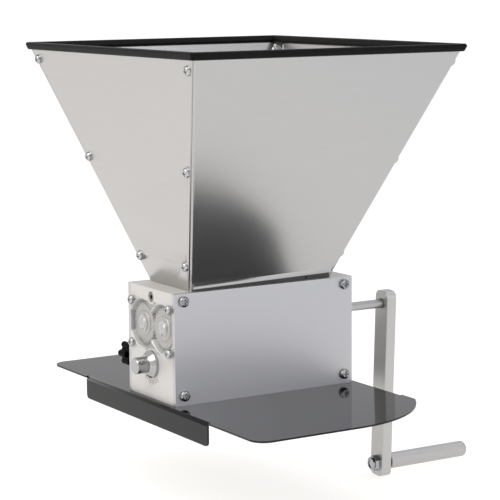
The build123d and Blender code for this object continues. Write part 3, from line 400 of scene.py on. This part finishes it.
# How wide the softened edges are, in metres, by node. The other nodes keep their edges.
EDGE_ROUNDING = {
    "base_plate": 0.0005,
    "left_end_block": 0.0005,
    "right_end_block": 0.0005,
    "front_cover": 0.0006,
    "rear_cover": 0.0006,
    "hopper_left_panel": 0.0004,
    "hopper_right_panel": 0.0004,
    "hopper_front_panel": 0.0004,
    "hopper_rear_panel": 0.0004,
    "gear_cover": 0.0003,
}
EDGE_SEGMENTS = 2
# Sharper edges than EDGE_ANGLE are softened, and faces that differ by less than FLAT_ANGLE merge.
EDGE_ANGLE = math.radians(32)
FLAT_ANGLE = math.radians(0.5)
WELD_DISTANCE = 1e-6


def assign(obj, shader):
    """Gives an object one material, in its own material slots."""
    if not obj.data.materials:
        obj.data.materials.append(shader.material)
    for slot in obj.material_slots:
        slot.material = shader.material


def soften_edges(obj, width):
    """Joins the mesh up, merges its flat faces and rounds its edges, all by modifiers."""
    weld = obj.modifiers.new("weld", "WELD")
    weld.merge_threshold = WELD_DISTANCE
    flat = obj.modifiers.new("flat", "DECIMATE")
    flat.decimate_type = "DISSOLVE"
    flat.angle_limit = FLAT_ANGLE
    edge = obj.modifiers.new("edge", "BEVEL")
    edge.width = width
    edge.segments = EDGE_SEGMENTS
    edge.limit_method = "ANGLE"
    edge.angle_limit = EDGE_ANGLE
    edge.use_clamp_overlap = True
    edge.harden_normals = True


def dress_cad():
    """Materials on all CAD nodes, and softened edges on those in EDGE_ROUNDING."""
    for name, obj in NODES.items():
        assign(obj, NODE_MATERIALS.get(name, SCREW_METAL))
        if name in EDGE_ROUNDING:
            soften_edges(obj, EDGE_ROUNDING[name])


# ------------------------------------------------------------------ knurling

BARREL_LENGTH = 0.1254
# The relief starts just clear of the smooth barrel and stands this much higher at its points.
KNURL_LIFT = 0.00002
KNURL_DEPTH = 0.00012
KNURL_LINES = 56
KNURL_PITCH = 0.002
# The relief runs out over this length at each end of the barrel.
KNURL_FADE = 0.001
# Points to one line around the barrel, and to one pitch along it.
KNURL_POINTS = 5


def knurled_sleeve(node, body, axis, radius):
    """The diamond knurling that stands on a roller's smooth barrel, as real relief."""
    y, z = axis
    around = KNURL_LINES * KNURL_POINTS
    along = int(BARREL_LENGTH / KNURL_PITCH) * KNURL_POINTS
    vertices, faces = [], []
    for i in range(along + 1):
        x = -BARREL_LENGTH / 2 + BARREL_LENGTH * i / along
        from_end = min(i, along - i) / along * BARREL_LENGTH
        fade = min(1.0, from_end / KNURL_FADE)
        phase = x / KNURL_PITCH * math.pi
        for j in range(around):
            turn = 2 * math.pi * j / around
            rising = abs(math.sin(turn * KNURL_LINES / 2 + phase))
            falling = abs(math.sin(turn * KNURL_LINES / 2 - phase))
            r = radius + (KNURL_LIFT + KNURL_DEPTH * min(rising, falling) * fade)
            vertices.append((x, y + r * math.cos(turn), z + r * math.sin(turn)))
    for i in range(along):
        near, far = i * around, (i + 1) * around
        for j in range(around):
            k = (j + 1) % around
            faces.append((near + j, near + k, far + k, far + j))
    sleeve = add_mesh(f"{node}_knurling", vertices, faces)
    for polygon in sleeve.data.polygons:
        polygon.use_smooth = True
    assign(sleeve, KNURL_METAL)
    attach(sleeve, body)


# ------------------------------------------------------------------ dial scales

SCALE_TICKS = 9
SCALE_STEP = math.radians(10)
SCALE_RADIUS = 0.0136
SCALE_LENGTH = 0.004
# Every fourth tick is longer, by this much.
SCALE_LONG_EVERY = 4
SCALE_LONGER = 0.001
SCALE_WIDTH = 0.0004
# The paint lies in the engraving. It stands SCALE_RAISE off the block and is SCALE_SINK thick.
SCALE_RAISE = 0.00004
SCALE_SINK = 4 * SCALE_RAISE
# The six sides of a bar whose corners are counted outer or inner, near or far, left or right.
BAR_SIDES = ((0, 1, 3, 2), (4, 6, 7, 5), (0, 4, 5, 1), (2, 3, 7, 6), (0, 2, 6, 4), (1, 5, 7, 3))


def scale_paint(name, side):
    """Black paint in the engraved ticks under a dial, one thin bar to a tick."""
    face = side * (SCALE_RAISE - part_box("left_end_block")[0].x)
    y, z = DIAL_AXIS
    vertices, faces = [], []
    for i in range(SCALE_TICKS):
        turn = (i - (SCALE_TICKS - 1) / 2) * SCALE_STEP
        length = SCALE_LENGTH + (SCALE_LONGER if i % SCALE_LONG_EVERY == 0 else 0)
        outward = Vector((0, math.sin(turn), -math.cos(turn)))
        across = Vector((0, math.cos(turn), math.sin(turn))) * (SCALE_WIDTH / 2)
        start = len(vertices)
        for x in (face, face - side * SCALE_SINK):
            for reach in (SCALE_RADIUS, SCALE_RADIUS + length):
                for half in (-1, 1):
                    point = Vector((x, y, z)) + outward * reach + across * half
                    vertices.append(tuple(point))
        for bar_side in BAR_SIDES:
            faces.append(tuple(start + corner for corner in bar_side))
    paint = add_mesh(name, vertices, faces)
    assign(paint, SCALE_BLACK)
    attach(paint, "housing")


# ------------------------------------------------------------------ studio

FLOOR_DROP = 0.001
FLOOR_HALF_WIDTH = 25
FLOOR_CELLS = 8
FLOOR_GREY = (0.28, 0.28, 0.28)
FLOOR_GLOW = 0.84
# The floor's glow turns from warm to cool between these distances, along X turned by GLOW_TURN.
GLOW_WARM = (1.0, 0.98, 0.955, 1)
GLOW_COOL = (0.66, 0.68, 0.735, 1)
GLOW_TURN = math.radians(58)
GLOW_FROM, GLOW_TO = 0.2, 1.3

# The surround turns from warm to cool along X. The camera sees plain white in its place.
SURROUND_WARM = (1.0, 0.975, 0.95, 1)
SURROUND_COOL = (0.62, 0.63, 0.66, 1)
SURROUND_STRENGTH = 1.08
BACKDROP_WHITE = (1, 1, 1, 1)
BACKDROP_STRENGTH = 1.05

# Name, place, width and height, watts, and colour. They point at LIGHT_TARGET.
SOFT_BOXES = (
    ("key", (-1.45, -0.35, 1.7), (1.4, 1.4), 24, (1.0, 0.98, 0.95)),
    ("top", (0.1, -0.3, 1.9), (1.8, 1.4), 14, (1.0, 1.0, 1.0)),
    ("front", (0.6, -2.0, 0.7), (1.4, 1.0), 7, (0.95, 0.97, 1.0)),
)
LIGHT_TARGET = (0, 0, 0.12)


def two_colors(ramp_node, first, last):
    """Sets the two ends of a colour ramp."""
    for element, position, color in zip(ramp_node.color_ramp.elements, (0.0, 1.0), (first, last)):
        element.position = position
        element.color = color


def make_floor():
    """A pale floor under the model, which glows a little cooler towards the front right."""
    floor_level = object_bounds()[0][2] - FLOOR_DROP
    mesh = bpy.data.meshes.new("floor")
    maker = bmesh.new()
    bmesh.ops.create_grid(
        maker, x_segments=FLOOR_CELLS, y_segments=FLOOR_CELLS, size=FLOOR_HALF_WIDTH
    )
    maker.to_mesh(mesh)
    maker.free()
    floor = bpy.data.objects.new("floor", mesh)
    floor.location.z = floor_level
    scene.collection.objects.link(floor)
    shader = Shader(
        "floor", FLOOR_GREY, 0.0, 0.9, Emission_Strength=FLOOR_GLOW, Specular_IOR_Level=0.0
    )
    shader.vary_color(shader.noise(shader.place(), scale=2.0), low=0.995, high=1.005)
    glow = shader.node("ShaderNodeValToRGB")
    two_colors(glow, GLOW_WARM, GLOW_COOL)
    turn = shader.node("ShaderNodeMapping", Rotation=(0, 0, GLOW_TURN))
    split = shader.node("ShaderNodeSeparateXYZ")
    shader.link(shader.place(), turn.inputs["Vector"])
    shader.link(turn.outputs["Vector"], split.inputs["Vector"])
    shader.link(shader.ramp(split.outputs["X"], GLOW_FROM, GLOW_TO, 0, 1), glow.inputs["Fac"])
    shader.link(glow.outputs["Color"], shader.principled.inputs["Emission Color"])
    assign(floor, shader)


def make_surround():
    """Light from all around, warmer on the dial's side and cooler on the crank's."""
    world = bpy.data.worlds.new("studio")
    world.use_nodes = True
    scene.world = world
    tree = world.node_tree
    background = tree.nodes["Background"]
    coordinates = tree.nodes.new("ShaderNodeTexCoord")
    split = tree.nodes.new("ShaderNodeSeparateXYZ")
    tree.links.new(coordinates.outputs["Generated"], split.inputs["Vector"])
    ramp = tree.nodes.new("ShaderNodeValToRGB")
    two_colors(ramp, SURROUND_WARM, SURROUND_COOL)
    across = tree.nodes.new("ShaderNodeMapRange")
    across.inputs["From Min"].default_value = -1
    across.inputs["From Max"].default_value = 1
    tree.links.new(split.outputs["X"], across.inputs["Value"])
    tree.links.new(across.outputs["Result"], ramp.inputs["Fac"])
    tree.links.new(ramp.outputs["Color"], background.inputs["Color"])
    background.inputs["Strength"].default_value = SURROUND_STRENGTH
    backdrop = tree.nodes.new("ShaderNodeBackground")
    backdrop.inputs["Color"].default_value = BACKDROP_WHITE
    backdrop.inputs["Strength"].default_value = BACKDROP_STRENGTH
    mix = tree.nodes.new("ShaderNodeMixShader")
    path = tree.nodes.new("ShaderNodeLightPath")
    tree.links.new(path.outputs["Is Camera Ray"], mix.inputs["Fac"])
    tree.links.new(background.outputs["Background"], mix.inputs[1])
    tree.links.new(backdrop.outputs["Background"], mix.inputs[2])
    tree.links.new(mix.outputs["Shader"], tree.nodes["World Output"].inputs["Surface"])


def make_soft_box(name, place, size, power, color):
    """A rectangular area light that points at the model."""
    data = bpy.data.lights.new(name, "AREA")
    data.shape = "RECTANGLE"
    data.size, data.size_y = size
    data.energy = power
    data.color = color
    light = bpy.data.objects.new(name, data)
    towards = Vector(LIGHT_TARGET) - Vector(place)
    rotation = towards.to_track_quat("-Z", "Y").to_matrix().to_4x4()
    light.matrix_world = Matrix.Translation(place) @ rotation
    scene.collection.objects.link(light)


def make_studio():
    """Floor, surround and soft boxes, shown with plain sRGB tones."""
    make_floor()
    make_surround()
    for soft_box in SOFT_BOXES:
        make_soft_box(*soft_box)
    scene.view_settings.view_transform = "Standard"
    scene.view_settings.look = "None"


# ------------------------------------------------------------------ build

make_camera()
dress_cad()
# The upper rollers' knurling stands on the driven roller's radius; the drive roller has the same.
knurled_sleeve("drive_roller", "drive_roller", DRIVE_AXIS, radius_of("driven_roller"))
knurled_sleeve("driven_roller", "driven_roller", DRIVEN_AXIS, radius_of("driven_roller"))
knurled_sleeve("idle_roller", "idle_roller", axis_of("idle_roller"), radius_of("idle_roller"))
scale_paint("left_dial_scale", -1)
scale_paint("right_dial_scale", 1)
make_studio()
